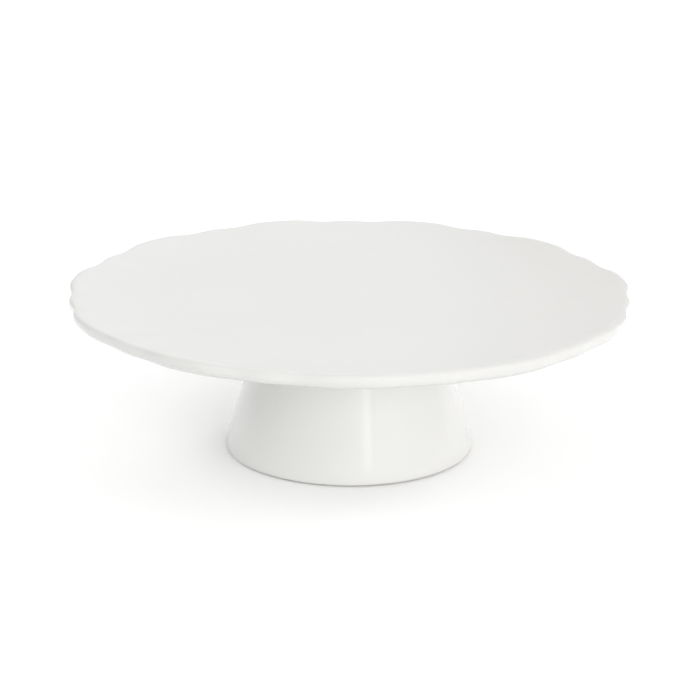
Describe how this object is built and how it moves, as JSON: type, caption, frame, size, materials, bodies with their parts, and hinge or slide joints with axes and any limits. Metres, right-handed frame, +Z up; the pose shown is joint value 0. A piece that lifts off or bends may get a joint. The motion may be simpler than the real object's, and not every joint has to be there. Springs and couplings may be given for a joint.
{
  "type": "cake stand",
  "caption": "Footed cake stand: a wide, nearly flat round plate with a softly scalloped edge on a short hollow conical pedestal, in white glazed ceramic.",
  "frame": {"origin": "centre of the foot ring, on the plane that the stand rests on", "axes": "+Z up along the stand's axis, from the foot to the plate; X and Y level, with one broad lobe of the edge 8.8 degrees round from +X towards +Y"},
  "size_m": [0.3019, 0.301, 0.089],
  "materials": {
    "glazed_clay": "white gloss glaze over a pale clay body; the land of the foot ring is left bare",
    "slip": "clay slip and coil fired into the body, under the same white gloss glaze"
  },
  "bodies": {
    "root": {"plate": "glazed_clay", "pedestal": "glazed_clay", "luting_slip": "slip", "seam_coil": "slip"}
  },
  "joints": []
}
